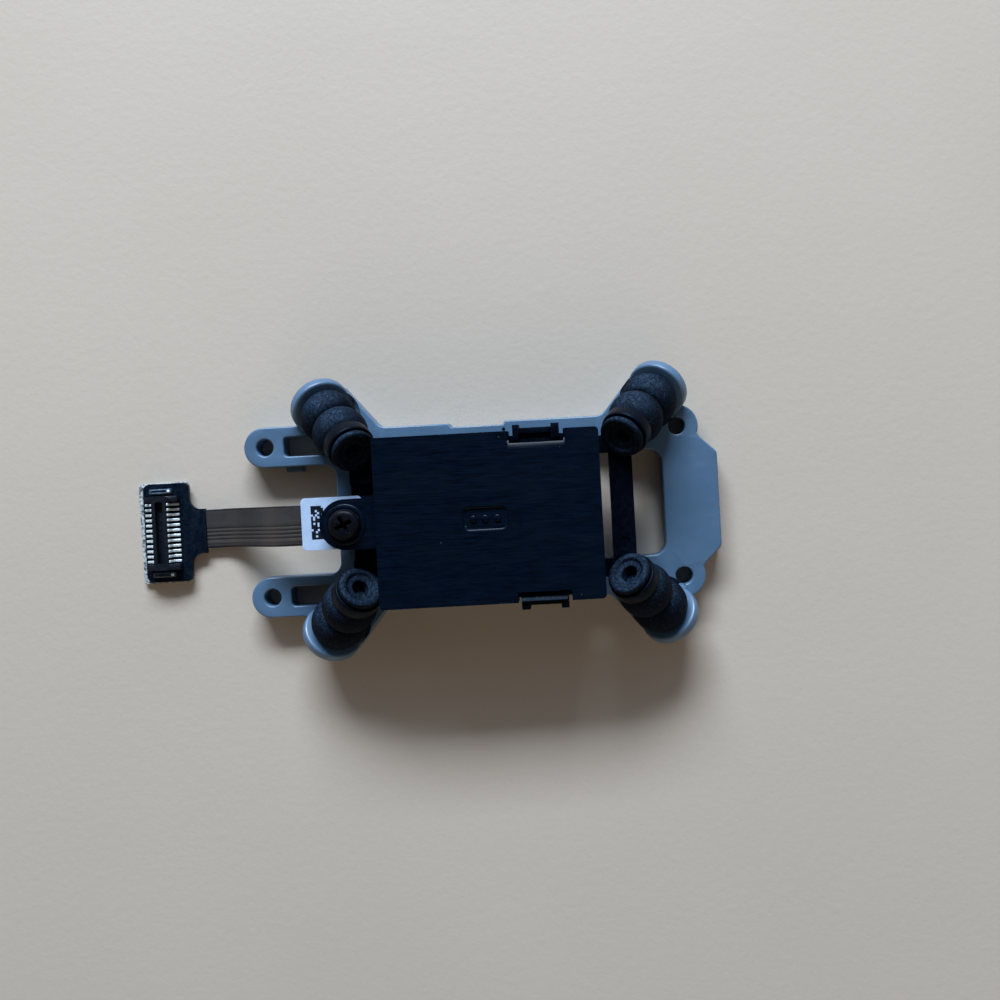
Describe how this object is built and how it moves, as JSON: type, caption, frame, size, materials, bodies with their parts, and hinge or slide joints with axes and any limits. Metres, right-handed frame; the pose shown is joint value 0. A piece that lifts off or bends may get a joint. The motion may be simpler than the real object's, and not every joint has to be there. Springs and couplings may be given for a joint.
{
  "type": "vibration-isolated inertial sensor module",
  "caption": "Isolation frame with inclined rubber bellows carrying a snap-fit sensor case; a flexible ribbon leaves one side and ends in a board-to-board connector.",
  "frame": {"origin": "centre of the bounding box in plan, at the underside of the isolation frame (the plane the part rests on)", "axes": "+X from the connector towards the frame's end plate, +Y towards the frame edge with the shallow notch, +Z from the frame's underside up through the case"},
  "size_m": [0.045, 0.0216, 0.008],
  "materials": {
    "frame_grey": "satin moulded grey, faint grain",
    "rubber": "matt black soft rubber with a dusty surface",
    "tray_black": "semi-gloss black moulded plastic",
    "cover_black": "black plastic with a fine lengthwise brushed texture",
    "screw_steel": "blackened steel",
    "soldermask": "black solder mask over glass epoxy",
    "chip_black": "moulded epoxy package",
    "can_metal": "plated metal can",
    "capacitor_ceramic": "sintered ceramic",
    "thermal_gel": "soft gap filler",
    "ballast_steel": "zinc-plated steel",
    "label_white": "printed white film",
    "polyimide": "dark brown polyimide over copper traces",
    "stiffener_epoxy": "pale speckled glass epoxy",
    "housing_black": "moulded liquid-crystal polymer",
    "contact_tin": "bright tinned or gilded contact metal"
  },
  "bodies": {
    "frame": {"isolation_frame": "frame_grey"},
    "dampers": {"damper_left_back": "rubber", "damper_left_front": "rubber", "damper_right_back": "rubber", "damper_right_front": "rubber"},
    "module": {"carrier_tray": "tray_black", "top_cover": "cover_black", "cover_screw": "screw_steel", "main_board": "soldermask", "thermal_pad": "thermal_gel", "ballast_plate": "ballast_steel", "id_label": "label_white", "microcontroller": "chip_black", "imu_sensor_primary": "chip_black", "imu_sensor_backup": "chip_black", "voltage_regulator": "chip_black", "crystal": "can_metal", "heater_resistor_1": "chip_black", "heater_resistor_2": "chip_black", "heater_resistor_3": "chip_black", "heater_resistor_4": "chip_black", "capacitor_1": "capacitor_ceramic", "capacitor_2": "capacitor_ceramic", "capacitor_3": "capacitor_ceramic", "capacitor_4": "capacitor_ceramic", "capacitor_5": "capacitor_ceramic", "capacitor_6": "capacitor_ceramic"},
    "flex_tail": {"flex_ribbon": "polyimide"},
    "connector_head": {"connector_board": "soldermask", "flex_stiffener": "stiffener_epoxy", "connector_housing": "housing_black", "connector_hold_down_back": "contact_tin", "connector_hold_down_front": "contact_tin", "contact_01": "contact_tin", "contact_02": "contact_tin", "contact_03": "contact_tin", "contact_04": "contact_tin", "contact_05": "contact_tin", "contact_06": "contact_tin", "contact_07": "contact_tin", "contact_08": "contact_tin", "contact_09": "contact_tin", "contact_10": "contact_tin", "contact_11": "contact_tin", "contact_12": "contact_tin", "contact_13": "contact_tin", "contact_14": "contact_tin", "contact_15": "contact_tin", "contact_16": "contact_tin", "contact_17": "contact_tin", "contact_18": "contact_tin", "contact_19": "contact_tin", "contact_20": "contact_tin", "contact_21": "contact_tin", "contact_22": "contact_tin", "contact_23": "contact_tin", "contact_24": "contact_tin"}
  },
  "joints": [
    {"name": "module_sway_y", "type": "slide", "parent": "frame", "child": "dampers", "axis": [0, 1, 0], "range_m": [-0.0008, 0.0008], "stiffness_N_per_m": 300, "deforming": ["damper_left_back", "damper_left_front", "damper_right_back", "damper_right_front"]},
    {"name": "module_heave", "type": "slide", "parent": "dampers", "child": "module", "axis": [0, 0, 1], "range_m": [-0.001, 0.001], "stiffness_N_per_m": 300, "deforming": ["damper_left_back", "damper_left_front", "damper_right_back", "damper_right_front"]},
    {"name": "flex_root_bend", "type": "hinge", "parent": "module", "child": "flex_tail", "pos_m": [-0.01, -0.00025, 0.0046], "axis": [0, 1, 0], "range_deg": [-45, 90], "deforming": ["flex_ribbon"]},
    {"name": "connector_bend", "type": "hinge", "parent": "flex_tail", "child": "connector_head", "pos_m": [-0.017, -0.00025, 0.00056], "axis": [0, 1, 0], "range_deg": [-60, 90], "deforming": ["flex_ribbon"]}
  ]
}
